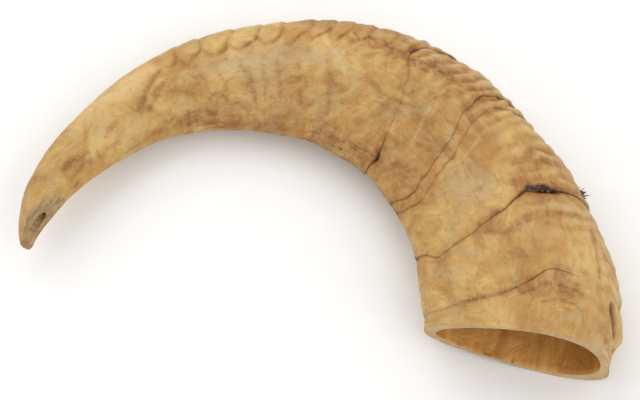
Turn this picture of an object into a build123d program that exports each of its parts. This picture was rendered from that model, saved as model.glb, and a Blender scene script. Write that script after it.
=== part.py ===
from build123d import *
import os
from math import ceil, cos, pi, radians, sin

# A ram's horn (shofar) lying on its side: +Z up, arch towards +Y, bell opening towards -Y at the
# +X end, mouth at the -X end.  Millimetres.  The origin is under the middle of the horn's box.
# The horn is a stack of keratin growth cones: each younger one starts inside the older one.

# --- driving dimensions -------------------------------------------------------------------------
# Stations along the horn's spine, mouth first: (x, y, lift of the underside off the ground,
# width in plan, depth, heading of the spine in degrees from +X).  Sections stand upright.
STATIONS = [
    (-101.4, -22.7, 15.2, 6.4, 5.0, 89),
    (-101.3, -18.6, 14.6, 9.4, 7.0, 84),
    (-100.1, -12.0, 13.6, 12.4, 9.2, 77),
    (-97.2, -1.1, 12.0, 14.8, 11.2, 64),
    (-87.2, 14.6, 8.0, 20.2, 14.5, 49),
    (-66.2, 34.6, 3.0, 27.5, 18.7, 34),
    (-44.2, 44.6, 0.6, 34.8, 23.0, 15),
    (-16.2, 47.1, 0.5, 41.8, 27.1, -2),
    (10.3, 42.6, 1.0, 49.3, 31.5, -21),
    (37.8, 27.1, 0.0, 56.0, 35.0, -43),
    (61.3, -6.4, 1.0, 61.5, 37.0, -65),
    (71.3, -43.4, 1.0, 69.5, 41.0, -88),
    (68.9, -60.6, 0.0, 65.0, 41.0, -103),
]
LAST = len(STATIONS) - 1
SECTION_POINTS = 16
WIDEST_SECTIONS = 0.5      # spine parameter between one loft section and the next, at most

# Section: a rounded triangle, broad on the brow side of the curl and narrow at the keel inside it.
KEEL_TAPER = 0.42
KEEL_SQUARING = 0.05
SHARE_ABOVE_KEEL = 0.6     # part of the depth that lies above the keel line

# Natural hollow: (spine parameter, its share of the outer width, its share of the outer depth)
HOLLOW_SHARES = [
    (3.85, 0.20, 0.28),
    (4.4, 0.30, 0.34),
    (5.0, 0.40, 0.42),
    (6.0, 0.57, 0.56),
    (7.0, 0.67, 0.65),
    (8.0, 0.74, 0.71),
    (9.0, 0.79, 0.76),
    (10.0, 0.82, 0.79),
    (11.0, 0.85, 0.82),
    (12.0, 0.89, 0.86),
]
HOLLOW_KEEL_TAPER = 0.36
HOLLOW_SHIFT = (0.012, 0.006)   # hollow's centre off the spine, as shares of width and depth
LAMINA_SHARE = 0.5              # where a lap divides the wall into inner and outer lamina
PAST_THE_END = 2.0              # how far the hollow's form runs past a cone's ends

# Drilled bore from the mouth facet to the hollow
BORE_RADIUS = 1.5
BORE_MOUTH = Vector(-99.5, -12.5, 17.8)
BORE_AXIS = Vector(0.325, 0.938, -0.11)
BORE_DEPTH = 28.0
BORE_RUN_OUT = 22.0             # the drill's way in front of the facet

# Mouth facet: a shallow scoop filed across the tip on the keel side
FACET_POINT = Vector(-99.6, -14.6, 16.5)
FACET_NORMAL = Vector(0.78, -0.44, 0.46)
FACET_ALONG = Vector(0.48, 0.86, 0.0)
FACET_RADIUS = 30.0
FACET_BREADTH = 30.0

# Growth furrows, as spine parameters, and how far each younger cone reaches under the older one
FURROWS = [5.8, 8.9, 9.5, 9.68, 10.3, 11.1]
LAPS = [8.0, 8.0, 8.0, 3.0, 8.0, 8.0]
CONE_NAMES = [
    "mouthpiece_tip",
    "growth_cone_1",
    "growth_cone_2",
    "growth_cone_3",
    "growth_cone_4",
    "growth_cone_5",
    "bell_cone",
]

# A shred of dried skin left in the last deep furrow, on the brow side
TUFT_ROOT = Vector(92.8, -5.9, 27.0)
TUFT_DIRECTION = Vector(0.93, 0.25, 0.25)
TUFT_NEIGHBOURS = [4, 5]                      # the two cones that it sits on
TUFT_PROFILE = [(-2.0, 1.6), (1.0, 1.9), (2.6, 1.2), (4.0, 0.6)]   # (distance out, radius)


# --- the horn's form ----------------------------------------------------------------------------
def on_curve(rows, t):
    """Catmull-Rom value of rows of numbers at parameter t, the first row being t = 0."""
    i = min(int(t), len(rows) - 2)
    f = t - i
    b, c = rows[i], rows[i + 1]
    a = rows[i - 1] if i > 0 else [2 * p - q for p, q in zip(b, c)]
    d = rows[i + 2] if i + 2 < len(rows) else [2 * q - p for p, q in zip(b, c)]
    return [
        0.5 * (2 * q + (r - p) * f + (2 * p - 5 * q + 4 * r - s) * f**2 + (3 * q - p - 3 * r + s) * f**3)
        for p, q, r, s in zip(a, b, c, d)
    ]


def between(table, t):
    """Linear value of the table's other columns at its first column's value t."""
    for low, high in zip(table, table[1:]):
        if t <= high[0]:
            break
    f = (t - low[0]) / (high[0] - low[0])
    return [p + (q - p) * f for p, q in zip(low[1:], high[1:])]


def spine_point(t):
    """Point of the spine at parameter t, at the level of the keel."""
    x, y, lift, _, depth, _ = on_curve(STATIONS, t)
    return Vector(x, y, lift + (1 - SHARE_ABOVE_KEEL) * depth)


def spine_plane(t, past=0.0):
    """Upright section plane at t: local X points out to the brow side, local Y up."""
    heading = radians(on_curve(STATIONS, t)[-1])
    forward = Vector(cos(heading), sin(heading), 0)
    outward = Vector(-forward.Y, forward.X, 0)
    return Plane(spine_point(t) + forward * past, x_dir=outward, z_dir=forward)


def section_point(angle, taper, squaring):
    """Point of the unit section: angle 0 at the brow side, pi at the keel, pi/2 on top."""
    def rise(a):
        return sin(a) * (1 + taper * cos(a)) + squaring * sin(3 * a)

    highest = max(rise(pi * i / 180) for i in range(180))
    share = SHARE_ABOVE_KEEL if sin(angle) > 0 else 1 - SHARE_ABOVE_KEEL
    return 0.5 * cos(angle), share * rise(angle) / highest


def outer_point(t, angle):
    width, depth = on_curve(STATIONS, t)[3:5]
    x, y = section_point(angle, KEEL_TAPER, KEEL_SQUARING)
    return width * x, depth * y


def hollow_point(t, angle):
    width, depth = on_curve(STATIONS, t)[3:5]
    width_share, depth_share = between(HOLLOW_SHARES, t)
    x, y = section_point(angle, HOLLOW_KEEL_TAPER, 0.0)
    return width * (width_share * x + HOLLOW_SHIFT[0]), depth * (depth_share * y + HOLLOW_SHIFT[1])


def lamina_point(t, angle):
    """A point inside the wall, on the face where a younger cone's lap meets the older cone."""
    outer, hollow = outer_point(t, angle), hollow_point(t, angle)
    return tuple(p + (q - p) * LAMINA_SHARE for p, q in zip(hollow, outer))


def spine_stops(start, end):
    """Evenly spaced parameters for the loft sections from start to end."""
    count = max(2, ceil((end - start) / WIDEST_SECTIONS))
    return [start + (end - start) * i / count for i in range(count + 1)]


def horn_form(point, start, end, past=0.0):
    """Solid lofted from start to end through the sections that point(t, angle) draws."""
    angles = [2 * pi * i / SECTION_POINTS for i in range(SECTION_POINTS)]
    planes = [(t, spine_plane(t)) for t in spine_stops(start, end)]
    if past:
        planes.append((end, spine_plane(end, past)))
    with BuildPart() as form:
        for t, plane in planes:
            with BuildSketch(plane):
                with BuildLine():
                    points = [Vector(*point(t, angle)) for angle in angles]
                    add(Edge.make_spline(points, periodic=True, parameters=range(SECTION_POINTS + 1)))
                make_face()
        loft(ruled=True)
    return form.part


def lap_start(t, lap):
    """Parameter of the spine point that lies lap before t."""
    step = 0.01
    speed = (spine_point(t) - spine_point(t - step)).length / step
    return t - lap / speed


# --- growth cones -------------------------------------------------------------------------------
# laps[i] is the form of cone i's thin start, which sits inside cone i - 1; the tip has none
laps = [None] + [
    horn_form(lamina_point, lap_start(furrow, lap), furrow) for furrow, lap in zip(FURROWS, LAPS)
]
borders = [0.0] + FURROWS + [LAST]
facet_plane = Plane(
    FACET_POINT + FACET_NORMAL.normalized() * FACET_RADIUS,
    x_dir=FACET_NORMAL,
    z_dir=FACET_ALONG.cross(FACET_NORMAL),
)
bore_plane = Plane(BORE_MOUTH - BORE_AXIS.normalized() * BORE_RUN_OUT, z_dir=BORE_AXIS)

with BuildPart() as mouthpiece_tip:
    add(horn_form(outer_point, 0.0, FURROWS[0]))
    add(laps[1], mode=Mode.SUBTRACT)
    add(horn_form(hollow_point, HOLLOW_SHARES[0][0], FURROWS[0], PAST_THE_END), mode=Mode.SUBTRACT)
    with BuildSketch(facet_plane):
        Circle(FACET_RADIUS)
    extrude(amount=FACET_BREADTH / 2, both=True, mode=Mode.SUBTRACT)
    with BuildSketch(bore_plane):
        Circle(BORE_RADIUS)
    extrude(amount=BORE_RUN_OUT + BORE_DEPTH, mode=Mode.SUBTRACT)


def growth_cone(index):
    """One cone: its ring of wall and its lap, less the younger cone's lap and the hollow."""
    start, end = borders[index], borders[index + 1]
    hollow_start = lap_start(start, LAPS[index - 1] + PAST_THE_END)
    with BuildPart() as cone:
        add(horn_form(outer_point, start, end))
        add(laps[index])
        if index + 1 < len(laps):
            add(laps[index + 1], mode=Mode.SUBTRACT)
        add(horn_form(hollow_point, hollow_start, end, PAST_THE_END), mode=Mode.SUBTRACT)
    return cone.part


# --- dried tuft ---------------------------------------------------------------------------------
with BuildPart() as dried_tuft:
    for distance, radius in TUFT_PROFILE:
        with BuildSketch(Plane(TUFT_ROOT + TUFT_DIRECTION.normalized() * distance, z_dir=TUFT_DIRECTION)):
            Circle(radius)
    loft()
    for index in TUFT_NEIGHBOURS:
        add(horn_form(outer_point, borders[index], borders[index + 1]), mode=Mode.SUBTRACT)

os.makedirs("parts", exist_ok=True)
mouthpiece_tip.part.label = "mouthpiece_tip"
export_step(mouthpiece_tip.part, "parts/mouthpiece_tip.step")
for index in range(1, len(CONE_NAMES)):
    cone_part = growth_cone(index)
    cone_part.label = CONE_NAMES[index]
    export_step(cone_part, f"parts/{CONE_NAMES[index]}.step")
dried_tuft.part.label = "dried_tuft"
export_step(dried_tuft.part, "parts/dried_tuft.step")
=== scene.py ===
from math import cos, pi, radians, sin

import bpy
import numpy as np
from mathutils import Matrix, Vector


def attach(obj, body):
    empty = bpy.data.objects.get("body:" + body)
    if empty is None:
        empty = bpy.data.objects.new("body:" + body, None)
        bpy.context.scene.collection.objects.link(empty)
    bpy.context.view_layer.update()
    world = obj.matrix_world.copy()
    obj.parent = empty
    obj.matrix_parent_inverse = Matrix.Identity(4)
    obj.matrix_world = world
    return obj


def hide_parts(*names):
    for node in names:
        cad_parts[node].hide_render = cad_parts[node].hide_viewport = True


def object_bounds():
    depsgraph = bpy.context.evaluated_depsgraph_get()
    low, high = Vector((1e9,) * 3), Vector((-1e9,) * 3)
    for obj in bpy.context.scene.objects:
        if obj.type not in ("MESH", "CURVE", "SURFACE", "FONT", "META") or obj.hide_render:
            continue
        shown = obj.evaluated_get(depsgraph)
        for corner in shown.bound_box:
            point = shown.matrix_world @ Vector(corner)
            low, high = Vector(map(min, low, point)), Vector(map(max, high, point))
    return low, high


# A ram's horn (shofar) on a pale floor.  Horn geometry is worked out in millimetres in the frame of the
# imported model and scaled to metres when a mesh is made.
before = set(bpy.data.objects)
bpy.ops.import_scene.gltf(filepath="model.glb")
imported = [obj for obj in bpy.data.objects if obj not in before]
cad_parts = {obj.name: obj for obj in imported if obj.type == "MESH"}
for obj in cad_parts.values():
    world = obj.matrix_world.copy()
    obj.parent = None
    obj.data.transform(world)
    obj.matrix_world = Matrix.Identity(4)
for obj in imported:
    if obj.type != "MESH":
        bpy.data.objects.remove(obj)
cad_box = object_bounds()
MM = 0.001


def unit(vector):
    return np.array(vector) / np.linalg.norm(vector)


# --- form of the horn, as in the CAD source -----------------------------------------------------
# x, y, lift of the underside, width in plan, depth, heading of the spine in degrees
STATIONS = np.array(
    [
        (-101.4, -22.7, 15.2, 6.4, 5.0, 89),
        (-101.3, -18.6, 14.6, 9.4, 7.0, 84),
        (-100.1, -12.0, 13.6, 12.4, 9.2, 77),
        (-97.2, -1.1, 12.0, 14.8, 11.2, 64),
        (-87.2, 14.6, 8.0, 20.2, 14.5, 49),
        (-66.2, 34.6, 3.0, 27.5, 18.7, 34),
        (-44.2, 44.6, 0.6, 34.8, 23.0, 15),
        (-16.2, 47.1, 0.5, 41.8, 27.1, -2),
        (10.3, 42.6, 1.0, 49.3, 31.5, -21),
        (37.8, 27.1, 0.0, 56.0, 35.0, -43),
        (61.3, -6.4, 1.0, 61.5, 37.0, -65),
        (71.3, -43.4, 1.0, 69.5, 41.0, -88),
        (68.9, -60.6, 0.0, 65.0, 41.0, -103),
    ]
)
LAST = len(STATIONS) - 1
KEEL_TAPER = 0.42
KEEL_SQUARING = 0.05
HOLLOW_KEEL_TAPER = 0.36
HOLLOW_SHIFT = (0.012, 0.006)
SHARE_ABOVE_KEEL = 0.6
HOLLOW_T = [3.85, 4.4, 5.0, 6.0, 7.0, 8.0, 9.0, 10.0, 11.0, 12.0]
HOLLOW_WIDTH = [0.20, 0.30, 0.40, 0.57, 0.67, 0.74, 0.79, 0.82, 0.85, 0.89]
HOLLOW_DEPTH = [0.28, 0.34, 0.42, 0.56, 0.65, 0.71, 0.76, 0.79, 0.82, 0.86]

BORE_RADIUS = 1.5
BORE_MOUTH = np.array([-99.5, -12.5, 17.8])
BORE_AXIS = unit([0.325, 0.938, -0.11])
BORE_DEPTH = 28.0
FACET_POINT = np.array([-99.6, -14.6, 16.5])
FACET_NORMAL = unit([0.78, -0.44, 0.46])
FACET_ALONG = np.array([0.48, 0.86, 0.0])
FACET_ALONG = unit(FACET_ALONG - FACET_NORMAL * (FACET_ALONG @ FACET_NORMAL))
FACET_ACROSS = np.cross(FACET_NORMAL, FACET_ALONG)
FACET_RADIUS = 30.0

TUFT_ROOT = np.array([92.8, -5.9, 27.0])
TUFT_DIRECTION = unit([0.93, 0.25, 0.25])

# Growth furrows: knots (angle in degrees from the brow towards the top and the keel, spine parameter),
# the same on the underside.  Their depths in mm and the strength of their stains have knots of the
# same kind.  Laps are in mm.
FURROWS = [
    [(0, 5.8), (180, 5.8)],
    [(0, 9.0), (20, 8.95), (37, 8.79), (44, 8.62), (55, 8.57), (63, 8.57), (76, 8.67), (95, 8.77),
     (111, 8.83), (130, 8.92), (146, 8.98), (161, 8.92), (180, 8.9)],
    [(0, 9.52), (28, 9.46), (42, 9.36), (55, 9.31), (73, 9.32), (91, 9.42), (115, 9.51), (142, 9.61),
     (168, 9.48), (180, 9.44)],
    [(0, 9.64), (28, 9.58), (42, 9.50), (55, 9.44), (76, 9.43), (90, 9.50), (104, 9.57), (138, 9.72),
     (159, 9.66), (180, 9.60)],
    [(0, 10.38), (18, 10.35), (36, 10.29), (54, 10.24), (73, 10.15), (94, 10.25), (108, 10.31), (124, 10.38),
     (142, 10.44), (157, 10.31), (180, 10.26)],
    [(0, 11.2), (28, 11.18), (53, 11.06), (70, 10.90), (76, 10.88), (89, 11.02), (106, 11.16), (132, 11.26),
     (146, 11.42), (165, 11.40), (180, 11.3)],
]
FURROW_DEPTHS = [
    [(0, 0.03), (180, 0.03)],
    [(0, 0.35), (20, 0.40), (50, 0.35), (66, 0.14), (80, 0.06), (125, 0.10), (140, 0.55), (165, 0.45),
     (180, 0.3)],
    [(0, 0.55), (40, 0.60), (60, 0.25), (75, 0.09), (120, 0.10), (150, 0.28), (180, 0.30)],
    [(0, 0.20), (50, 0.08), (80, 0.08), (110, 0.11), (140, 0.15), (180, 0.22)],
    [(0, 0.40), (30, 0.50), (45, 0.9), (54, 1.4), (70, 1.3), (80, 0.32), (110, 0.12), (140, 0.14),
     (180, 0.25)],
    [(0, 0.02), (50, 0.02), (65, 0.08), (80, 0.22), (95, 0.12), (110, 0.05), (150, 0.05), (180, 0.10)],
]
FURROW_STAINS = [
    [(0, 0.0), (180, 0.0)],
    [(0, 0.45), (50, 0.50), (68, 0.35), (84, 0.16), (125, 0.14), (138, 0.55), (152, 0.80), (170, 0.6),
     (180, 0.5)],
    [(0, 0.60), (40, 0.60), (60, 0.45), (80, 0.22), (120, 0.30), (150, 0.42), (180, 0.4)],
    [(0, 0.25), (60, 0.22), (90, 0.32), (140, 0.34), (180, 0.4)],
    [(0, 0.20), (40, 0.28), (50, 0.50), (55, 0.9), (71, 0.9), (80, 0.48), (105, 0.38), (140, 0.40),
     (180, 0.5)],
    [(0, 0.02), (55, 0.05), (68, 0.35), (80, 0.55), (92, 0.40), (105, 0.22), (140, 0.16), (180, 0.2)],
]
LAPS = [8.0, 8.0, 8.0, 3.0, 8.0, 8.0]
RECESS_SHARE = 0.51    # where in the wall the older cone's recess lies
SPIGOT_SHARE = 0.49    # and the younger cone's spigot, just clear of it
HOLLOW_PITCH = 1.2     # mm between rings on the hollow

# Ends of the shingle-like lobes along the brow side, and the angle where their lower edge runs
LOBE_ENDS = [5.45, 5.83, 6.14, 6.50, 6.84, 7.10, 7.42, 7.66, 7.88, 8.14, 8.34, 8.56, 8.80]
LOBE_EDGE = [(5.6, 63), (6.3, 61), (6.9, 57), (7.8, 53), (8.8, 56)]

# Strokes on the horn's skin, the pale ones partly painted highlight: (kind, strength, half-width in mm, depth
# in mm, points (spine parameter, angle))
STROKES = [
    ("dark", 0.45, 0.5, 0.30, [(8.44, 149), (8.60, 150), (8.80, 148), (8.93, 147)]),
    ("dark", 0.7, 0.8, 0.1, [(8.36, 164), (8.40, 163)]),
    ("rust", 0.6, 1.6, 0.0, [(8.45, 148), (8.90, 149)]),
    ("dark", 0.4, 0.9, 0.15, [(8.90, 140), (8.98, 146), (8.97, 152)]),
    ("dark", 0.32, 0.5, 0.20, [(8.36, 66), (8.42, 78), (8.53, 90)]),
    ("pale", 0.22, 0.5, 0.0, [(8.76, 96), (8.84, 108), (8.92, 122)]),
    ("dark", 0.35, 0.7, 0.30, [(7.93, 52), (7.97, 56), (8.02, 60)]),
    ("dark", 0.40, 0.8, 0.35, [(8.08, 52), (8.16, 57), (8.22, 62)]),
    ("dark", 0.45, 0.9, 0.35, [(8.28, 56), (8.34, 60), (8.40, 62)]),
    ("rust", 1.0, 2.2, 0.0, [(8.10, 58), (8.40, 64), (8.62, 64), (8.80, 66)]),
    ("rust", 1.0, 2.8, 0.0, [(8.78, 66), (8.92, 62), (9.04, 60)]),
    ("rust", 0.9, 1.8, 0.0, [(9.06, 80), (9.12, 72), (9.20, 66)]),
    ("dark", 0.45, 0.5, 0.45, [(8.60, 64), (8.72, 62), (8.84, 60)]),
    ("dark", 0.35, 0.5, 0.40, [(8.68, 68), (8.80, 67), (8.92, 66)]),
    ("dark", 0.45, 0.8, 0.10, [(8.90, 62), (8.96, 60)]),
    ("dark", 0.40, 0.9, 0.10, [(9.02, 55), (9.06, 50)]),
    ("dark", 0.40, 0.8, 0.10, [(9.12, 62), (9.16, 60)]),
    ("dark", 0.35, 0.9, 0.0, [(8.98, 80), (9.03, 79)]),
    ("dark", 0.35, 0.8, 0.0, [(9.15, 87), (9.19, 86)]),
    ("pale", 0.30, 0.6, 0.0, [(9.07, 88), (9.13, 101), (9.19, 114)]),
    ("pale", 0.35, 0.5, 0.0, [(9.56, 76), (9.60, 84), (9.68, 105), (9.74, 122)]),
    ("rust", 0.95, 2.4, 0.0, [(9.20, 140), (9.34, 133), (9.50, 128)]),
    ("rust", 0.75, 2.2, 0.0, [(9.56, 144), (9.72, 138)]),
    ("dark", 1.0, 1.1, 0.55, [(10.14, 71), (10.18, 62), (10.23, 55)]),
    ("dark", 0.30, 1.4, 0.15, [(10.22, 60), (10.28, 48), (10.33, 36)]),
    ("rust", 0.9, 2.6, 0.0, [(10.06, 76), (10.16, 62), (10.24, 44), (10.30, 30)]),
    ("rust", 1.0, 3.0, 0.0, [(9.90, 70), (9.97, 58), (10.00, 44)]),
    ("rust", 1.0, 2.6, 0.0, [(10.38, 104), (10.46, 92), (10.40, 80)]),
    ("rust", 0.8, 2.4, 0.0, [(10.40, 78), (10.44, 62), (10.46, 46)]),
    ("pale", 0.22, 4.5, 0.0, [(10.52, 78), (10.64, 66)]),
    ("dark", 0.35, 0.5, 0.45, [(10.48, 36), (10.73, 39), (11.0, 44)]),
    ("rust", 0.5, 1.4, 0.0, [(10.48, 34), (10.73, 38), (11.0, 43)]),
    ("dark", 0.45, 0.6, 0.5, [(11.20, 94), (11.06, 81), (11.12, 70), (11.22, 58)]),
    ("dark", 0.38, 0.6, 0.45, [(11.38, 83), (11.33, 73), (11.40, 64), (11.52, 57)]),
    ("dark", 0.3, 0.4, 0.30, [(11.52, 78), (11.48, 70), (11.55, 62)]),
    ("dark", 0.55, 0.8, 0.10, [(10.95, 70), (10.97, 69)]),
    ("dark", 0.5, 0.7, 0.10, [(11.08, 62), (11.10, 61)]),
    ("dark", 0.45, 0.7, 0.0, [(11.73, 80), (11.75, 79)]),
    ("rust", 1.0, 3.4, 0.0, [(11.08, 92), (11.12, 76), (11.22, 62)]),
    ("rust", 0.22, 2.6, 0.0, [(11.5, 60), (11.7, 45), (11.85, 30)]),
    ("rust", 0.9, 0.9, 0.0, [(11.13, 100), (11.17, 110), (11.26, 130), (11.42, 146)]),
    ("dark", 0.62, 1.4, 0.8, [(11.26, 33), (11.40, 30), (11.56, 24), (11.66, 20)]),
    ("rust", 0.9, 2.4, 0.0, [(11.26, 33), (11.40, 30), (11.56, 24), (11.70, 18)]),
    ("rust", 0.8, 1.8, 0.0, [(11.74, 36), (11.84, 24), (11.94, 14)]),
    ("dark", 0.25, 0.5, 0.5, [(11.20, 8), (11.22, 16)]),
    ("dark", 0.40, 0.6, 0.6, [(11.76, -6), (11.79, 6), (11.77, 16)]),
    ("dark", 0.35, 0.5, 0.4, [(11.90, -6), (11.92, 2), (11.91, 10)]),
    ("grey", 0.7, 2.2, 0.0, [(11.86, 44), (11.92, 36), (11.94, 26)]),
    ("rust", 0.95, 2.4, 0.0, [(3.62, 100), (3.85, 108), (4.1, 112)]),
    ("rust", 0.8, 1.6, 0.0, [(4.02, 132), (4.25, 128), (4.5, 130)]),
    ("dark", 0.35, 1.4, 0.0, [(3.70, 98), (3.86, 104)]),
    ("dark", 0.40, 1.2, 0.0, [(3.55, 130), (3.75, 128), (3.95, 122)]),
    ("rust", 0.9, 1.5, 0.0, [(4.42, 108), (4.65, 100)]),
    ("rust", 0.95, 1.8, 0.0, [(4.98, 104), (5.16, 90), (5.31, 78), (5.5, 70)]),
    ("rust", 0.9, 1.5, 0.0, [(5.12, 110), (5.34, 96), (5.55, 84)]),
    ("dark", 0.25, 0.7, 0.0, [(5.04, 100), (5.22, 86), (5.40, 75)]),
    ("rust", 0.8, 2.6, 0.0, [(5.00, 150), (5.4, 142), (5.8, 138), (6.2, 142)]),
    ("rust", 0.6, 1.6, 0.0, [(5.56, 100), (5.9, 112), (6.3, 120)]),
    ("rust", 0.9, 2.2, 0.0, [(5.5, 150), (6.1, 158), (6.6, 164), (7.2, 164)]),
    ("dark", 0.22, 0.8, 0.0, [(5.72, 152), (6.0, 158), (6.35, 160), (6.65, 166)]),
    ("dark", 0.5, 0.8, 0.25, [(3.48, 156), (3.62, 152)]),
    ("rust", 0.6, 1.2, 0.0, [(6.30, 96), (6.38, 108), (6.36, 124)]),
    ("rust", 0.75, 1.5, 0.0, [(6.00, 82), (6.12, 100), (6.10, 122)]),
    ("rust", 0.75, 1.8, 0.0, [(6.60, 90), (6.72, 108), (6.74, 128)]),
    ("rust", 0.6, 1.4, 0.0, [(6.86, 92), (6.90, 110), (6.90, 126)]),
    ("rust", 0.65, 1.4, 0.0, [(7.06, 88), (7.10, 106), (7.14, 126)]),
    ("rust", 0.55, 1.4, 0.0, [(7.36, 90), (7.42, 108), (7.48, 128)]),
    ("rust", 0.6, 1.8, 0.0, [(7.78, 88), (7.86, 106), (7.96, 126)]),
    ("pale", 0.45, 1.5, 0.0, [(7.62, 66), (7.76, 75), (7.90, 84), (8.00, 92)]),
    ("grey", 0.8, 5.0, 0.0, [(6.2, 86), (6.6, 86), (7.0, 84), (7.4, 82), (7.7, 86)]),
    ("pale", 0.35, 5.0, 0.0, [(4.2, 60), (4.8, 56), (5.4, 60)]),
    ("grey", 0.9, 6.0, 0.0, [(9.80, 112), (9.98, 92)]),
    ("rust", 0.35, 6.0, 0.0, [(9.72, 108), (9.92, 96)]),
]
# Swellings: (height in mm, reach along the horn, reach across it, spine parameter, angle)
SWELLINGS = [
    (1.7, 4.2, 7.5, 11.55, 6),
    (2.2, 3.4, 6.5, 11.98, -20),
    (0.7, 4.5, 9.0, 11.50, 52),
    (-0.7, 2.4, 9.0, 11.18, 12),
    (0.7, 6.0, 8.0, 10.0, 20),
    (-0.9, 5.5, 9.0, 9.72, 8),
    (0.6, 5.0, 9.0, 9.16, 24),
    (-0.6, 4.0, 8.0, 8.92, 16),
    (0.5, 6.0, 9.0, 10.75, 14),
]


def smooth(low, high, x):
    """0 below low, 1 above high, and an S-shaped rise between them."""
    f = np.clip((x - low) / (high - low), 0, 1)
    return f * f * (3 - 2 * f)


# --- seeded lattice noise -----------------------------------------------------------------------
LATTICE_SIDE = 48
LATTICE = np.random.default_rng(11).uniform(-1, 1, (LATTICE_SIDE,) * 3)
OCTAVE_STEP = 2.03    # how much finer each octave is
OCTAVE_SHIFT = 7.7    # keeps the octaves' cells apart


def noise(p):
    """Smooth value noise, from -1 to 1, at points p in an (..., 3) array."""
    cell = np.floor(p).astype(int)
    f = p - cell
    f = f * f * (3 - 2 * f)
    total = 0
    for corner in range(8):
        dx, dy, dz = corner & 1, corner >> 1 & 1, corner >> 2
        weight = (
            np.where(dx, f[..., 0], 1 - f[..., 0])
            * np.where(dy, f[..., 1], 1 - f[..., 1])
            * np.where(dz, f[..., 2], 1 - f[..., 2])
        )
        index = (cell + (dx, dy, dz)) % LATTICE_SIDE
        total = total + weight * LATTICE[index[..., 0], index[..., 1], index[..., 2]]
    return total


def rough(p, octaves=3):
    """Octaves of noise, each finer than the last and half as strong."""
    return sum(noise(p * OCTAVE_STEP**k + OCTAVE_SHIFT * k) * 0.5**k for k in range(octaves))


# --- surfaces -----------------------------------------------------------------------------------
def on_curve(rows, t):
    """Catmull-Rom values of rows at the parameters t."""
    t = np.clip(t, 0, len(rows) - 1)
    i = np.minimum(t.astype(int), len(rows) - 2)
    f = (t - i)[..., None]
    ends = np.vstack([2 * rows[0] - rows[1], rows, 2 * rows[-1] - rows[-2]])
    a, b, c, d = ends[i], ends[i + 1], ends[i + 2], ends[i + 3]
    return 0.5 * (2 * b + (c - a) * f + (2 * a - 5 * b + 4 * c - d) * f**2 + (3 * b - a - 3 * c + d) * f**3)


STEPS = np.linspace(0, LAST, 1201)
STEP_ROWS = on_curve(STATIONS, STEPS)
LENGTHS = np.concatenate([[0], np.cumsum(np.hypot(*np.diff(STEP_ROWS[:, :2], axis=0).T))])


def unit_section(phi, taper, squaring):
    """Offsets across and up of the unit section: phi 0 at the brow, pi at the keel."""

    def rise(a):
        return np.sin(a) * (1 + taper * np.cos(a)) + squaring * np.sin(3 * a)

    highest = rise(np.linspace(0, pi, 181)).max()
    share = np.where(np.sin(phi) > 0, SHARE_ABOVE_KEEL, 1 - SHARE_ABOVE_KEEL)
    return 0.5 * np.cos(phi), share * rise(phi) / highest


def placed(t, across, up):
    """Point that lies across and up from the spine's point at t."""
    row = on_curve(STATIONS, t)
    heading = np.radians(row[..., 5])
    return np.stack(
        [
            row[..., 0] - across * np.sin(heading),
            row[..., 1] + across * np.cos(heading),
            row[..., 2] + (1 - SHARE_ABOVE_KEEL) * row[..., 4] + up,
        ],
        -1,
    )


def outer_offsets(t, phi):
    row = on_curve(STATIONS, t)
    x, y = unit_section(phi, KEEL_TAPER, KEEL_SQUARING)
    return row[..., 3] * x, row[..., 4] * y


def hollow_offsets(t, phi):
    row = on_curve(STATIONS, t)
    x, y = unit_section(phi, HOLLOW_KEEL_TAPER, 0.0)
    wide = np.interp(t, HOLLOW_T, HOLLOW_WIDTH)
    deep = np.interp(t, HOLLOW_T, HOLLOW_DEPTH)
    return row[..., 3] * (wide * x + HOLLOW_SHIFT[0]), row[..., 4] * (deep * y + HOLLOW_SHIFT[1])


def outer(t, phi):
    """Point of the plain outside, before its relief."""
    return placed(t, *outer_offsets(t, phi))


def wall(t, phi, share):
    """Point in the wall: share 0 on the hollow, 1 on the outside."""
    hollow, skin = hollow_offsets(t, phi), outer_offsets(t, phi)
    return placed(t, *(h + (s - h) * share for h, s in zip(hollow, skin)))


def outward(surface, t, phi):
    """Unit normals of a surface, away from the spine."""
    step = 0.01
    along = surface(t + step, phi) - surface(t - step, phi)
    around = surface(t, phi + step) - surface(t, phi - step)
    normal = np.cross(around, along)
    return normal / np.maximum(np.linalg.norm(normal, axis=-1), 1e-9)[..., None]


def grain(t, across, up):
    """The horn straightened out: millimetres along, across and up."""
    return np.stack([np.interp(t, STEPS, LENGTHS), across, up], -1)


def folded(phi):
    """Angle from the brow, in degrees, 0 to 180 on both sides."""
    return np.degrees(np.abs((phi + pi) % (2 * pi) - pi))


def knots(rows, phi):
    """Value of (angle, value) knots at angles phi, with the corners smoothed away."""
    angles = np.linspace(0, 180, 361)
    values = np.interp(angles, *np.array(rows, float).T)
    margin = 20
    mirrored = np.concatenate([values[margin:0:-1], values, values[-2 : -margin - 2 : -1]])
    bell = np.exp(-(np.linspace(-2, 2, 33) ** 2))
    values = np.convolve(mirrored, bell / bell.sum(), "same")[margin:-margin]
    return np.interp(folded(phi), angles, values)


def noise_ring(phi, radius, shift, height):
    """Points of a level circle in noise space, moved by shift along its first axis."""
    return np.stack([np.cos(phi) * radius + shift, np.sin(phi) * radius, 0 * phi + height], -1)


def furrow(index, phi):
    """Spine parameter of a furrow round the horn, a little uneven."""
    return knots(FURROWS[index], phi) + 0.016 * rough(noise_ring(phi, 5, index, 3.3 * index), 5)


def speed(t, phi):
    """Millimetres of skin per unit of the spine parameter."""
    step = 0.02
    return np.linalg.norm(outer(t + step, phi) - outer(t - step, phi), axis=-1) / (2 * step)


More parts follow.
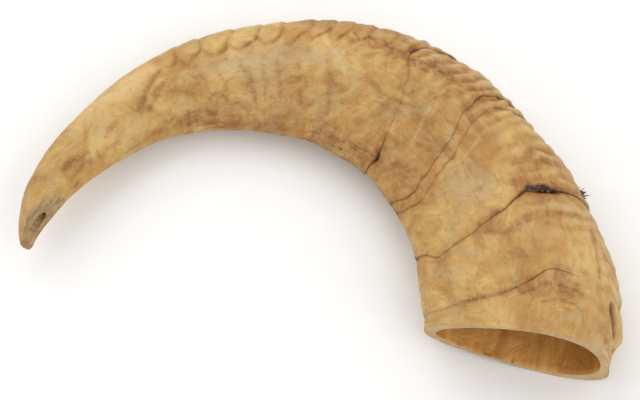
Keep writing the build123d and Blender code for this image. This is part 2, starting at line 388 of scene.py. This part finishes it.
# --- relief, stains, painted shade and painted highlights of the skin ---------------------------
# Fields that mix real marks with painted light: the dark field holds cracks, dirt and painted shade, the pale
# field paler horn and painted highlights, the brown field stains and painted shade; grey is greyish horn.
STAINS_AND_PAINTED_LIGHT = ("dark", "pale", "rust", "grey")


def falloff(gap, width):
    """1 where gap is 0, falling off in a bell curve of that half-width."""
    return np.exp(-((gap / width) ** 2))


def stroke_reach(points, skin, width):
    """Share of a stroke at each skin point, from 1 on its line to 0 past its edge."""
    knot = np.array(points, float)
    at = np.linspace(0, len(knot) - 1, 8 * len(knot))
    t = np.interp(at, range(len(knot)), knot[:, 0])
    phi = np.radians(np.interp(at, range(len(knot)), knot[:, 1]))
    line = outer(t, phi)
    low, high = line.min(0) - 3 * width, line.max(0) + 3 * width
    near = np.all((skin > low) & (skin < high), -1)
    reach = np.zeros(skin.shape[:-1])
    if near.any():
        p = skin[near]
        uneven = 1 + 0.45 * noise(p / (1.6 * width + 0.8)) + 0.25 * noise(p / 0.8)
        gaps = np.linalg.norm(p[:, None] - line[None], axis=-1)
        taper = np.interp(at, [0, 0.35 * len(knot), len(knot) - 1.01], [0.6, 1, 0.5])
        half_width = width * np.maximum(uneven, 0.3) * taper[gaps.argmin(1)]
        reach[near] = falloff(gaps.min(1), half_width)
    return reach


def lobe_relief(t, fold, straight, stains_and_painted_light):
    """Shingle-like lobes along the brow side: one from each of LOBE_ENDS to the next, with painted shade
    under their lower edges.
    """
    ends = np.array(LOBE_ENDS)
    warped = t + 0.05 * rough(straight / (9, 9, 9) + 5) + 0.0012 * (fold - 45)
    cell = np.clip(np.searchsorted(ends, warped) - 1, 0, len(ends) - 2)
    u = np.clip((warped - ends[cell]) / (ends[cell + 1] - ends[cell]), 0, 1)
    to_end = np.minimum(u, 1 - u)
    edge = np.interp(t, *np.array(LOBE_EDGE, float).T)
    edge = edge + 11 * np.sin(pi * u) ** 0.8 + 3 * noise(straight / 6)
    beside = (edge - fold) * (on_curve(STATIONS, t)[..., 4] * 0.0105)
    window = smooth(5.5, 6.0, t) * (1 - smooth(8.6, 8.95, t))
    raised = smooth(-0.5, 1.1, beside)
    # Brown and dark band just under each lobe's lower edge: partly stain, partly painted shade under the
    # ledge.
    under = falloff(beside + 0.3, 0.9) * (0.45 + 0.55 * smooth(0.2, 0.9, u))
    stains_and_painted_light["rust"] += window * under * 1.25
    stains_and_painted_light["dark"] += window * under * 0.30 * smooth(0.4, 0.95, u)
    stains_and_painted_light["rust"] += window * raised * 0.75 * falloff(to_end, 0.10)
    stains_and_painted_light["rust"] += window * 0.35 * falloff(beside + 3.6, 0.9) * smooth(0.1, 0.5, u)
    swell = 0.30 + 0.50 * u**1.4 * (1 - smooth(0.80, 1.0, u))
    return window * raised * (swell - 0.26 * falloff(to_end, 0.12))


def wrinkle_relief(t, fold, straight, stains_and_painted_light):
    """Cross wrinkles, strong on the brow side from the middle of the horn to the bell, with painted shade in
    their troughs and painted highlights on their crests.
    """
    brow = 1 - smooth(40, 95, fold)
    bend = straight[..., 0] + 0.0007 * fold**2 + 2.6 * rough(straight / (14, 10, 10) + 9)
    patchy = 0.35 + 0.65 * smooth(-0.5, 0.5, rough(straight / 11 + 20))
    deep = brow * smooth(7.6, 8.8, t) * (1 - 0.55 * smooth(10.2, 10.5, t)) * patchy
    wave = 0.5 + 0.5 * np.sin(2 * pi * bend / 4.6)
    fine = 0.5 + 0.5 * np.sin(2 * pi * bend / 2.1 + 1.3)
    # Colour follows the waves: brown and dark in the troughs, part stain and part painted shade, and pale on
    # the crests, a painted highlight.
    stains_and_painted_light["rust"] += 0.85 * deep * (1 - wave) ** 2
    stains_and_painted_light["dark"] += 0.25 * deep * (1 - wave) ** 4
    stains_and_painted_light["pale"] += 0.35 * deep * wave**3
    top = smooth(60, 85, fold) * (1 - smooth(130, 160, fold)) * smooth(8.0, 8.8, t)
    faint = 0.10 * top * np.sin(2 * pi * bend / 3.1)
    return deep * (0.80 * wave**1.3 + 0.20 * fine - 0.5) + faint


def keel_relief(t, fold, straight, stains_and_painted_light):
    """Lengthwise fibre ridges along the keel, and the skin painted browner towards it: partly its own stain,
    partly painted shade of the keel side.
    """
    keel = smooth(128, 158, fold) * smooth(3.5, 5.0, t)
    fibres = rough(straight / (30, 1.6, 1.6) + 40)
    stained = keel * (1 - smooth(8.6, 9.0, t))
    stains_and_painted_light["dark"] += 0.26 * stained * smooth(0.25, 0.8, fibres)
    stains_and_painted_light["rust"] += 0.40 * stained * smooth(-0.1, 0.7, fibres)
    # Broad brown towards the keel side: partly the horn's own colour, partly painted shade on the side turned
    # from the light.
    stains_and_painted_light["rust"] += 0.50 * smooth(92, 150, fold) * smooth(5.0, 6.2, t) * (1 - smooth(9.3, 10.0, t))
    return 0.16 * keel * fibres


def swelling_relief(skin):
    """Broad lumps, and hollows where the height is negative."""
    total = 0
    for high, along, across, at, angle in SWELLINGS:
        centre = np.array([at]), np.array([radians(angle)])
        heading = radians(on_curve(STATIONS, centre[0])[0, 5])
        gap = skin - outer(*centre)[0]
        ahead = gap @ np.array([cos(heading), sin(heading), 0])
        beside = np.sqrt(np.maximum(np.sum(gap**2, axis=-1) - ahead**2, 0))
        total = total + high * falloff(ahead, along) * falloff(beside, across)
    return total


def skin_relief(t, phi, skin, straight):
    """Height of the skin over the plain form, in mm, and its stains with painted shade and painted
    highlights.
    """
    fold = folded(phi)
    stains_and_painted_light = {kind: np.zeros(t.shape) for kind in STAINS_AND_PAINTED_LIGHT}
    height = 0.35 * rough(straight / (16, 12, 12)) + 0.13 * rough(straight / (3.5, 6, 6) + 3)
    height = height * smooth(0.3, 3.5, t) * (0.6 + 0.4 * smooth(6, 9, t))
    for relief in (lobe_relief, wrinkle_relief, keel_relief):
        height = height + relief(t, fold, straight, stains_and_painted_light)
    height = height + swelling_relief(skin)
    for kind, strength, width, depth, points in STROKES:
        reach = stroke_reach(points, skin, width)
        stains_and_painted_light[kind] += strength * reach
        height = height - depth * reach
    return height, stains_and_painted_light


def furrow_relief(index, side, phi, gap, stains_and_painted_light, straight):
    """Height at a furrow's edge, gap mm away: side -1 is the older cone's lip, +1 the younger cone."""
    depth = knots(FURROW_DEPTHS[index], phi)
    stain = knots(FURROW_STAINS[index], phi) * (0.75 + 0.5 * rough(straight / 3))
    patchy = 1 + 0.6 * noise(straight / 7 + 31)
    stains_and_painted_light["dark"] += 0.80 * stain * falloff(gap, 0.45 + 0.40 * depth)
    stains_and_painted_light["rust"] += 1.9 * stain * patchy * falloff(gap, 1.5 + 1.8 * depth)
    stains_and_painted_light["rust"] += 0.6 * stain * patchy * np.exp(-gap / 4.5)
    soft = 0.36 * smooth(0.02, 0.12, depth)
    if side < 0:
        reach = 0.3 + 0.9 * depth
        lip = (0.10 * smooth(0.04, 0.12, depth) + 0.20 * depth) * falloff(gap - reach, 2.4)
        return lip - 0.6 * depth * np.clip(1 - gap / reach, 0, 1) ** 2 - soft * np.exp(-gap)
    return -depth * np.exp(-gap / (0.9 + 1.1 * depth)) - soft * np.exp(-gap / 2.4)


def facet_cut(points):
    """Points drawn back onto the filed facet's scoop, how far each is filed, and how far grooved."""
    near = (points[..., 0] < -80) & (points[..., 1] < 5)
    along = (points - FACET_POINT) @ FACET_ALONG
    high = (points - FACET_POINT) @ FACET_NORMAL - along**2 / (2 * FACET_RADIUS)
    blend = 0.22    # mm over which the facet's edge is rounded
    cut = -blend * np.log1p(np.exp(np.clip(-high / blend, -50, 50)))
    filed = smooth(-0.3, 0.3, high)
    ahead = (points - BORE_MOUTH) @ FACET_ALONG
    aside = (points - BORE_MOUTH) @ FACET_ACROSS + 0.4 * noise(points / 2.0)
    groove = filed * falloff(aside, 1.3) * smooth(-9, -4, ahead) * (1 - smooth(2, 5, ahead))
    scratch = 0.14 * rough(points / (0.9, 2.5, 0.9)) * filed - 0.9 * groove
    moved = np.where(near & (high > -2), cut - high + scratch, 0)
    around = np.where(near, smooth(-1.6, 0.2, high), 0)
    return points + moved[..., None] * FACET_NORMAL, around, np.where(near, groove, 0)


# --- meshes -------------------------------------------------------------------------------------
FIELDS = (*STAINS_AND_PAINTED_LIGHT, "inner", "sawn")
LOWEST = 0.02    # mm: relief on the underside stops short of the ground


class Rings:
    """Rings of points that make the skin of one piece, with the values its material reads."""

    def __init__(self, columns):
        self.phi = np.arange(columns) * 2 * pi / columns
        self.points = []
        self.grains = []
        self.values = []

    def add(self, points, straight, **values):
        """A ring of points, their places in the straightened horn, and their FIELDS values."""
        self.points.append(points)
        self.grains.append(straight)
        self.values.append([np.broadcast_to(values.get(f, 0.0), self.phi.shape) for f in FIELDS])

    def add_skin(self, t, start, end):
        """A ring of the outside at parameters t, between the furrow indices start and end."""
        phi = self.phi
        offsets = outer_offsets(t, phi)
        skin, straight = placed(t, *offsets), grain(t, *offsets)
        height, stains_and_painted_light = skin_relief(t, phi, skin, straight)
        if start is not None:
            gap = (t - furrow(start, phi)) * speed(t, phi)
            height = height + furrow_relief(start, 1, phi, gap, stains_and_painted_light, straight)
        if end is not None:
            gap = (furrow(end, phi) - t) * speed(t, phi)
            height = height + furrow_relief(end, -1, phi, gap, stains_and_painted_light, straight)
        points, filed, groove = facet_cut(skin + height[:, None] * outward(outer, t, phi))
        stains_and_painted_light["dark"] += 0.6 * groove
        points[:, 2] = np.maximum(points[:, 2], LOWEST)
        self.add(points, straight, sawn=filed, **stains_and_painted_light)

    def add_wall(self, t, share, **values):
        """A ring inside the wall, or on the hollow where share is 0."""
        t = np.broadcast_to(t, self.phi.shape)
        points = wall(t, self.phi, share)
        straight = grain(t, *hollow_offsets(t, self.phi))
        if share == 0:
            ripple = 0.10 * rough(straight / (10, 2.5, 2.5) + 60)
            points = points + ripple[:, None] * outward(lambda a, b: wall(a, b, 0), t, self.phi)
        self.add(points, straight, **values)

    def add_recess(self, end, hollow_end):
        """The edge of a cone at the furrow end and the recess that the next cone's lap fills."""
        self.add_wall(end, 0.8, dark=0.5, rust=0.6)
        for u in (0, 0.5, 1):
            self.add_wall(end + (hollow_end - end) * u, RECESS_SHARE, dark=0.9)
        self.add_wall(hollow_end, 0.2, inner=1.0)

    def mesh(self, name, closed=True):
        """The rings joined by quads; a closed stack joins its last ring to its first, and an open one
        has a fan of triangles over each end."""
        rows, columns = len(self.points), len(self.phi)
        points = np.concatenate(self.points)
        grains = np.concatenate(self.grains)
        values = np.concatenate([np.array(v).T for v in self.values])
        bands = rows if closed else rows - 1
        row, column = np.meshgrid(np.arange(bands), np.arange(columns), indexing="ij")
        this, below = row * columns, (row + 1) % rows * columns
        beside = (column + 1) % columns
        quads = np.stack([this + column, this + beside, below + beside, below + column], -1)
        faces = quads.reshape(-1, 4).tolist()
        if not closed:
            for ring, order in ((0, -1), (rows - 1, 1)):
                first = ring * columns
                centre = len(points)
                points, grains, values = (
                    np.vstack([array, array[first : first + columns].mean(0)])
                    for array in (points, grains, values)
                )
                for j in range(columns):
                    faces.append([first + j, first + (j + 1) % columns, centre][::order])
        return make_mesh(name, points, faces, grains, values)


def make_mesh(name, points, faces, grains, values):
    """An object with that mesh, points in millimetres, and its grain and FIELDS as attributes."""
    mesh = bpy.data.meshes.new(name)
    mesh.from_pydata((points * MM).tolist(), [], faces)
    field = mesh.attributes.new("grain", "FLOAT_VECTOR", "POINT")
    field.data.foreach_set("vector", grains.astype(np.float32).ravel())
    for i, kind in enumerate(FIELDS):
        field = mesh.attributes.new(kind, "FLOAT", "POINT")
        field.data.foreach_set("value", np.clip(values[:, i], 0, 1).astype(np.float32))
    mesh.polygons.foreach_set("use_smooth", np.ones(len(mesh.polygons), bool))
    mesh.update()
    piece = bpy.data.objects.new(name, mesh)
    bpy.context.scene.collection.objects.link(piece)
    return piece


def spaced(length, pitch, ease=True):
    """Shares from 0 to 1, about pitch apart over length; ease puts close steps at both ends."""
    even = np.linspace(0, 1, max(4, int(length / pitch)) + 1)
    if not ease:
        return even
    edge = np.array([0.08, 0.18, 0.32]) / length
    clear = 1.5 * edge[-1]
    inner = even[(even > clear) & (even < 1 - clear)]
    return np.concatenate([[0], edge, inner, 1 - edge[::-1], [1]])


def lap_before(t, lap):
    """Parameters of the spine points that lie lap mm before t."""
    return t - lap / np.interp(t, STEPS[1:], np.diff(LENGTHS) / np.diff(STEPS))


def cone(name, index, columns, pitch):
    """Growth cone index: its ring of wall between two furrows and its lap inside the older cone."""
    rings = Rings(columns)
    phi = rings.phi
    start = furrow(index - 1, phi)
    last = index == len(FURROWS)
    end = np.full(columns, float(LAST)) if last else furrow(index, phi)
    length = np.mean((end - start) * speed((start + end) / 2, phi))
    for u in spaced(length, pitch):
        rings.add_skin(start + (end - start) * u, index - 1, None if last else index)
    if last:
        hollow_end = end
        for share in (0.97, 0.90, 0.7, 0.5, 0.3, 0.1, 0.03):
            rings.add_wall(end, share, sawn=0.35, pale=0.25)
    else:
        hollow_end = lap_before(end, LAPS[index])
        rings.add_recess(end, hollow_end)
    back = lap_before(start, LAPS[index - 1])
    depth = 0.8 * np.mean((hollow_end - back) * speed((back + hollow_end) / 2, phi))
    for u in spaced(depth, HOLLOW_PITCH, False):
        rings.add_wall(hollow_end + (back - hollow_end) * u, 0.0, inner=1.0)
    rings.add_wall(back, 0.25, inner=1.0)
    for u in (0, 0.5, 1):
        rings.add_wall(back + (start - back) * u, SPIGOT_SHARE, dark=0.9)
    rings.add_wall(start, 0.72, dark=0.5, rust=0.6)
    return rings.mesh(name)


def tip(name, columns, pitch):
    """The oldest cone: the mouth end, with its rounded point, filed facet and drilled bore."""
    rings = Rings(columns)
    phi = rings.phi
    end = furrow(0, phi)
    point_end = 0.55         # spine parameter where the rounded point becomes the horn's own form
    length = 0.42 * LENGTHS[-1]
    hollow_length = 50
    for share in (0.10, 0.3, 0.5, 0.68, 0.82, 0.92, 0.98):
        t = np.full(columns, point_end * (1 - (1 - share**2) ** 0.5))
        offsets = [share * x for x in outer_offsets(np.full(columns, point_end), phi)]
        skin, straight = placed(t, *offsets), grain(t, *offsets)
        skin, filed, groove = facet_cut(skin)
        rings.add(skin, straight, sawn=filed, dark=0.2 * (1 - filed) + 0.6 * groove, rust=0.5)
    for u in spaced(length, pitch)[1:]:
        rings.add_skin(point_end + (end - point_end) * u, None, 0)
    hollow_end = lap_before(end, LAPS[0])
    rings.add_recess(end, hollow_end)
    for u in spaced(hollow_length, HOLLOW_PITCH, False):
        rings.add_wall(hollow_end + (HOLLOW_T[0] - hollow_end) * u, 0.0, inner=1.0)
    piece = rings.mesh(name, closed=False)
    bore(piece, drill(columns=40))
    return piece


def bore(piece, cutter):
    """Cuts the cutter out of the piece and removes it."""
    cut = piece.modifiers.new("bore", "BOOLEAN")
    cut.operation = "DIFFERENCE"
    cut.solver = "EXACT"
    cut.object = cutter
    depsgraph = bpy.context.evaluated_depsgraph_get()
    evaluated = piece.evaluated_get(depsgraph)
    cut_mesh = bpy.data.meshes.new_from_object(
        evaluated, preserve_all_data_layers=True, depsgraph=depsgraph
    )
    piece.modifiers.clear()
    piece.data = cut_mesh
    bpy.data.objects.remove(cutter)


def square_to(direction):
    """Two unit vectors square to a direction, the first of them level."""
    side = unit(np.cross(direction, (0, 0, 1.0)))
    return side, np.cross(direction, side)


def drill(columns):
    """The bore's form: a hole a little worn and widened at the mouth."""
    rings = Rings(columns)
    phi = rings.phi
    side, up = square_to(BORE_AXIS)
    across = np.cos(phi)[:, None] * side + np.sin(phi)[:, None] * up
    for at in (-16, -10, *np.arange(-6, BORE_DEPTH + 0.1)):    # mm along the bore from its mouth
        radius = BORE_RADIUS + 0.35 * smooth(4, -4, at) + 0.10 * rough(noise_ring(phi, 3, 0, 0.4 * at), 2)
        points = BORE_MOUTH + BORE_AXIS * at + radius[:, None] * across
        straight = np.stack([0 * phi + at, 2 * np.cos(phi), 2 * np.sin(phi)], -1)
        # Dark at the mouth and darker the deeper in: dirt, and painted shade inside the bore.
        rings.add(points, straight, dark=0.45 + 0.4 * smooth(-2, 6, at), rust=0.6)
    return rings.mesh("bore_drill", closed=False)


def tuft(name):
    """Shred of dried skin: a clump with stiff bent fibres."""
    rng = np.random.default_rng(5)
    parts = []
    side, up = square_to(TUFT_DIRECTION)

    def limb(root, way, length, radius, curl, columns=8, steps=9):
        rings = Rings(columns)
        phi = rings.phi
        drift = rng.uniform(-1, 1, 3)
        across = np.cos(phi)[:, None] * side + 0.75 * np.sin(phi)[:, None] * up
        for k in range(steps + 1):
            u = k / steps
            here = root + way * length * u + curl * length * u**2 * drift
            fat = radius * (0.45 + 1.3 * u * (1 - u) ** 0.6) * (1 - 0.88 * u**2)
            wobble = 1 + 0.3 * noise(1.7 * noise_ring(phi, 1, 0, 3 * u + length))
            points = here + (fat * wobble)[:, None] * across
            rings.add(points, points, dark=0.5, rust=0.5)
        parts.append(rings.mesh("limb", closed=False))

    limb(TUFT_ROOT - TUFT_DIRECTION * 2.2, TUFT_DIRECTION, 4.4, 2.0, 0.05, columns=28, steps=22)
    for _ in range(17):
        lean = side * rng.uniform(-0.75, 0.75) + up * rng.uniform(-0.75, 0.75)
        way = TUFT_DIRECTION + lean
        root = TUFT_ROOT - TUFT_DIRECTION * 0.8 + lean * 0.9
        limb(root, way / np.linalg.norm(way), rng.uniform(2.2, 4.4), rng.uniform(0.16, 0.42), 0.35)
    points, faces = [], []
    for part in parts:
        mesh = part.data
        faces += [[i + len(points) for i in p.vertices] for p in mesh.polygons]
        points += [v.co[:] for v in mesh.vertices]
        bpy.data.objects.remove(part)
        bpy.data.meshes.remove(mesh)
    points = np.array(points) / MM
    values = np.zeros((len(points), len(FIELDS)))
    return make_mesh(name, points, faces, points, values)


# --- materials ----------------------------------------------------------------------------------
class Nodes:
    """Shorthand for building a material's node tree."""

    def __init__(self, name):
        self.material = bpy.data.materials.new(name)
        self.material.use_nodes = True
        self.tree = self.material.node_tree
        self.tree.nodes.clear()
        self.output = self.tree.nodes.new("ShaderNodeOutputMaterial")

    def link(self, a, b):
        self.tree.links.new(a, b)

    def field(self, name, vector=False):
        node = self.tree.nodes.new("ShaderNodeAttribute")
        node.attribute_name = name
        return node.outputs["Vector" if vector else "Fac"]

    def mapped(self, vector, setting, value):
        node = self.tree.nodes.new("ShaderNodeMapping")
        node.inputs[setting].default_value = value
        self.link(vector, node.inputs["Vector"])
        return node.outputs["Vector"]

    def turned(self, vector, angles):
        return self.mapped(vector, "Rotation", angles)

    def noise(self, vector, scale, detail=4.0, roughness=0.55, distortion=0.0):
        node = self.tree.nodes.new("ShaderNodeTexNoise")
        node.inputs["Scale"].default_value = 1.0
        node.inputs["Detail"].default_value = detail
        node.inputs["Roughness"].default_value = roughness
        node.inputs["Distortion"].default_value = distortion
        self.link(self.mapped(vector, "Scale", scale), node.inputs["Vector"])
        return node.outputs["Fac"]

    def ramp(self, fac, stops):
        node = self.tree.nodes.new("ShaderNodeValToRGB")
        elements = node.color_ramp.elements
        while len(elements) < len(stops):
            elements.new(0.5)
        for element, (position, colour) in zip(elements, stops):
            element.position = position
            element.color = (*colour, 1)
        self.link(fac, node.inputs["Fac"])
        return node.outputs["Color"]

    def curve(self, fac, low, high, to_low=0.0, to_high=1.0):
        """fac from low to high, as an S-shaped rise or fall from to_low to to_high."""
        node = self.tree.nodes.new("ShaderNodeMapRange")
        node.interpolation_type = "SMOOTHSTEP"
        for key, value in zip(("From Min", "From Max", "To Min", "To Max"), (low, high, to_low, to_high)):
            node.inputs[key].default_value = value
        self.link(fac, node.inputs["Value"])
        return node.outputs["Result"]

    def maths(self, operation, a, b, clamp=False):
        node = self.tree.nodes.new("ShaderNodeMath")
        node.operation = operation
        node.use_clamp = clamp
        for socket, value in zip(node.inputs, (a, b)):
            if isinstance(value, (int, float)):
                socket.default_value = value
            else:
                self.link(value, socket)
        return node.outputs["Value"]

    def weight(self, a, b):
        """The product of a and b, held between 0 and 1."""
        return self.maths("MULTIPLY", a, b, True)

    def mix(self, fac, a, b):
        """Colour a with the share fac of colour b over it."""
        node = self.tree.nodes.new("ShaderNodeMix")
        node.data_type = "RGBA"
        for key, value in ((0, fac), (6, a), (7, b)):    # a Mix node's factor and its two colours
            socket = node.inputs[key]
            if isinstance(value, tuple):
                socket.default_value = (*value, 1)
            else:
                self.link(value, socket)
        return node.outputs[2]

    def bump(self, height, distance, normal=None):
        node = self.tree.nodes.new("ShaderNodeBump")
        node.inputs["Strength"].default_value = 1.0
        node.inputs["Distance"].default_value = distance
        self.link(height, node.inputs["Height"])
        if normal is not None:
            self.link(normal, node.inputs["Normal"])
        return node.outputs["Normal"]

    def principled(self, inputs):
        """The finished material: inputs of the shader by name, as numbers, tuples or sockets."""
        shader = self.tree.nodes.new("ShaderNodeBsdfPrincipled")
        for name, value in inputs.items():
            if isinstance(value, bpy.types.NodeSocket):
                self.link(value, shader.inputs[name])
            else:
                shader.inputs[name].default_value = value
        self.link(shader.outputs["BSDF"], self.output.inputs["Surface"])
        return self.material


def bare_keratin(n, g, cloud, fibre, thread, mottle):
    """Colour of clean skin: tan, cloudy from cream to orange and grey, with lengthwise fibres."""
    broad = n.noise(g, (0.030, 0.055, 0.055), 2, 0.5, 0.5)
    hue = n.noise(n.turned(g, (1.1, 0.5, 0.8)), (0.055, 0.08, 0.08), 3, 0.55, 0.9)
    tone = n.maths("ADD", n.maths("MULTIPLY", broad, 0.45), n.maths("MULTIPLY", cloud, 0.55))
    colour = n.ramp(
        tone,
        [
            (0.36, (0.345, 0.165, 0.036)),
            (0.45, (0.465, 0.258, 0.066)),
            (0.54, (0.560, 0.340, 0.100)),
            (0.64, (0.660, 0.435, 0.145)),
        ],
    )
    # pattern, its values where the tint starts and is full, the tint's share, the tint
    tints = [
        (hue, 0.52, 0.66, 0.50, (0.46, 0.215, 0.040)),
        (hue, 0.48, 0.34, 0.50, (0.51, 0.370, 0.170)),
        (fibre, 0.54, 0.72, 0.20, (0.34, 0.165, 0.045)),
        (fibre, 0.44, 0.30, 0.20, (0.64, 0.46, 0.23)),
        (thread, 0.58, 0.75, 0.12, (0.30, 0.15, 0.045)),
        (mottle, 0.56, 0.70, 0.46, (0.30, 0.130, 0.030)),
    ]
    for pattern, start, full, share, tint in tints:
        colour = n.mix(n.curve(pattern, start, full, 0.0, share), colour, tint)
    return colour


def stained(n, colour, cloud, mottle, dark):
    """The colour with the stains, painted shade and painted highlights that the mesh carries, broken up by
    the clouds and the mottling.
    """
    colour = n.mix(n.weight(n.field("grey"), 0.55), colour, (0.50, 0.385, 0.225))
    # Pale cream: paler horn, and painted highlights on crests and bumps.
    colour = n.mix(n.weight(n.field("pale"), 0.75), colour, (0.76, 0.57, 0.31))
    # Ochre brown: stains, and painted shade in wrinkle troughs, under the lobes and on the keel side.
    rust = n.weight(n.field("rust"), n.curve(mottle, 0.36, 0.64, 0.50, 1.25))
    ochre = n.ramp(cloud, [(0.40, (0.270, 0.100, 0.016)), (0.60, (0.400, 0.180, 0.036))])
    colour = n.mix(n.maths("MULTIPLY", rust, 0.86), colour, ochre)
    # Dark brown to near black: cracks and dirt, and painted shade in troughs, under the lobes and in the
    # bore.
    colour = n.mix(n.curve(dark, 0.0, 0.85, 0.0, 0.85), colour, (0.150, 0.062, 0.018))
    return n.mix(n.curve(dark, 0.72, 1.0, 0.0, 0.85), colour, (0.024, 0.013, 0.008))


def hollow_colour(n, g, cloud):
    """Warm amber, streaked along the horn."""
    colour = n.ramp(
        n.noise(g, (0.03, 0.16, 0.16), 3, 0.5, 0.5),
        [(0.34, (0.48, 0.205, 0.036)), (0.52, (0.62, 0.305, 0.068)), (0.68, (0.72, 0.420, 0.125))],
    )
    return n.mix(n.curve(cloud, 0.5, 0.66, 0.0, 0.45), colour, (0.40, 0.165, 0.04))


def sawn_colour(n, g):
    """Dull brown of the bell's rim and the mouth facet."""
    return n.ramp(
        n.noise(g, (0.3, 0.9, 0.9), 5, 0.6),
        [(0.36, (0.20, 0.115, 0.050)), (0.5, (0.34, 0.225, 0.110)), (0.64, (0.50, 0.37, 0.21))],
    )


def keratin(name):
    """Old polished horn with ingrained dirt, painted shade and painted highlights, a warmer hollow, and
    duller sawn and filed faces.
    """
    n = Nodes(name)
    g = n.field("grain", vector=True)
    cloud = n.noise(n.turned(g, (0.4, 0.7, 0.3)), (0.085, 0.12, 0.12), 5, 0.6, 1.2)
    fibre = n.noise(g, (0.060, 0.60, 0.60), 3, 0.5, 0.6)
    thread = n.noise(g, (0.30, 2.2, 2.2), 3, 0.5, 0.3)
    mottle = n.noise(n.turned(g, (0.6, 0.2, 0.9)), (0.40, 0.44, 0.44), 6, 0.68, 0.5)
    pores = n.noise(g, (1.4, 1.8, 1.8), 5, 0.65)
    dark = n.weight(n.field("dark"), n.curve(mottle, 0.25, 0.60, 0.70, 1.30))
    colour = bare_keratin(n, g, cloud, fibre, thread, mottle)
    colour = stained(n, colour, cloud, mottle, dark)
    colour = n.mix(n.field("inner"), colour, hollow_colour(n, g, cloud))
    colour = n.mix(n.maths("MULTIPLY", n.field("sawn"), 0.7), colour, sawn_colour(n, g))
    roughness = n.maths("ADD", n.curve(mottle, 0.3, 0.7, 0.36, 0.56), n.maths("MULTIPLY", dark, 0.25))
    normal = None
    for pattern, depth in ((fibre, 0.0004), (thread, 0.00012), (cloud, 0.0012), (pores, 0.00022)):
        normal = n.bump(pattern, depth, normal)
    return n.principled(
        {
            "Base Color": colour,
            "Roughness": roughness,
            "Subsurface Weight": 0.14,
            "Subsurface Radius": (1.0, 0.45, 0.2),
            "Subsurface Scale": 0.003,
            "Specular IOR Level": 0.42,
            "IOR": 1.54,
            "Normal": normal,
        }
    )


def dried_skin(name):
    n = Nodes(name)
    g = n.field("grain", vector=True)
    colour = n.ramp(
        n.noise(g, (1.1, 1.1, 1.1), 5, 0.65),
        [(0.35, (0.030, 0.014, 0.008)), (0.52, (0.12, 0.050, 0.020)), (0.68, (0.26, 0.13, 0.055))],
    )
    normal = n.bump(n.noise(g, (4, 4, 4), 4), 0.0005)
    return n.principled({"Base Color": colour, "Roughness": 0.72, "Normal": normal})


def paper(name):
    n = Nodes(name)
    coords = n.tree.nodes.new("ShaderNodeNewGeometry").outputs["Position"]
    tint = n.ramp(
        n.noise(coords, (60, 60, 60), 3),
        [(0.3, (0.905, 0.905, 0.90)), (0.7, (0.925, 0.925, 0.92))],
    )
    return n.principled({"Base Color": tint, "Roughness": 0.9, "Specular IOR Level": 0.1})


# --- the pieces ---------------------------------------------------------------------------------
horn_material = keratin("horn_keratin")
pieces = [
    (tip("tip_skin", 236, 0.42), "mouthpiece_tip", "tip_keratin", horn_material),
    (cone("cone_1_skin", 1, 300, 0.46), "growth_cone_1", "horn_keratin", horn_material),
    (cone("cone_2_skin", 2, 400, 0.36), "growth_cone_2", "horn_keratin", horn_material),
    (cone("cone_3_skin", 3, 420, 0.30), "growth_cone_3", "horn_keratin", horn_material),
    (cone("cone_4_skin", 4, 420, 0.36), "growth_cone_4", "horn_keratin", horn_material),
    (cone("cone_5_skin", 5, 440, 0.36), "growth_cone_5", "horn_keratin", horn_material),
    (cone("bell_skin", 6, 440, 0.36), "bell_cone", "horn_keratin", horn_material),
    (tuft("tuft_fibres"), "dried_tuft", "dried_skin", dried_skin("dried_skin")),
]
for piece, node, finish, material in pieces:
    piece.data.materials.clear()
    piece.data.materials.append(material)
    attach(piece, "root")
    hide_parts(node)

# --- floor, light and camera --------------------------------------------------------------------
FLOOR_REACH = 3.0
FLOOR_GAP = 0.0001
floor_corners = [(x * FLOOR_REACH, y * FLOOR_REACH, 0) for x, y in ((-1, -1), (1, -1), (1, 1), (-1, 1))]
floor_mesh = bpy.data.meshes.new("floor")
floor_mesh.from_pydata(floor_corners, [], [(0, 1, 2, 3)])
floor_mesh.materials.append(paper("paper"))
floor = bpy.data.objects.new("floor", floor_mesh)
floor.location.z = cad_box[0].z - FLOOR_GAP
bpy.context.scene.collection.objects.link(floor)


def aimed(direction):
    """Rotation of a lamp or a camera that looks along direction."""
    return direction.to_track_quat("-Z", "Y").to_euler()


def lamp(name, place, side, power, colour=(1, 1, 1)):
    """A square lamp that shines at the middle of the horn."""
    data = bpy.data.lights.new(name, "AREA")
    data.shape = "SQUARE"
    data.size = side
    data.energy = power
    data.color = colour
    light = bpy.data.objects.new(name, data)
    light.location = place
    light.rotation_euler = aimed(LAMP_AIM - Vector(place))
    bpy.context.scene.collection.objects.link(light)


LAMP_AIM = Vector((0, 0, 0.01))
lamp("key", (-0.55, 0.65, 0.95), 1.3, 6.2, (1.0, 0.985, 0.96))
lamp("fill", (0.7, -0.5, 0.9), 1.0, 3.0)

world = bpy.data.worlds.new("studio")
world.use_nodes = True
background = world.node_tree.nodes["Background"]
background.inputs["Color"].default_value = (1.0, 1.0, 1.0, 1)
background.inputs["Strength"].default_value = 0.84
bpy.context.scene.world = world
bpy.context.scene.view_settings.view_transform = "Standard"

CAMERA_TARGET = Vector((0.0011, -0.00265, 0.015))
CAMERA_ELEVATION = radians(66)
CAMERA_DISTANCE = 0.704
camera_data = bpy.data.cameras.new("camera")
camera_data.lens = 110
camera_data.sensor_width = 36
camera_data.clip_start = 0.01
camera = bpy.data.objects.new("camera", camera_data)
away = Vector((0, -cos(CAMERA_ELEVATION), sin(CAMERA_ELEVATION)))
camera.location = CAMERA_TARGET + away * CAMERA_DISTANCE
camera.rotation_euler = aimed(-away)
bpy.context.scene.collection.objects.link(camera)
bpy.context.scene.camera = camera
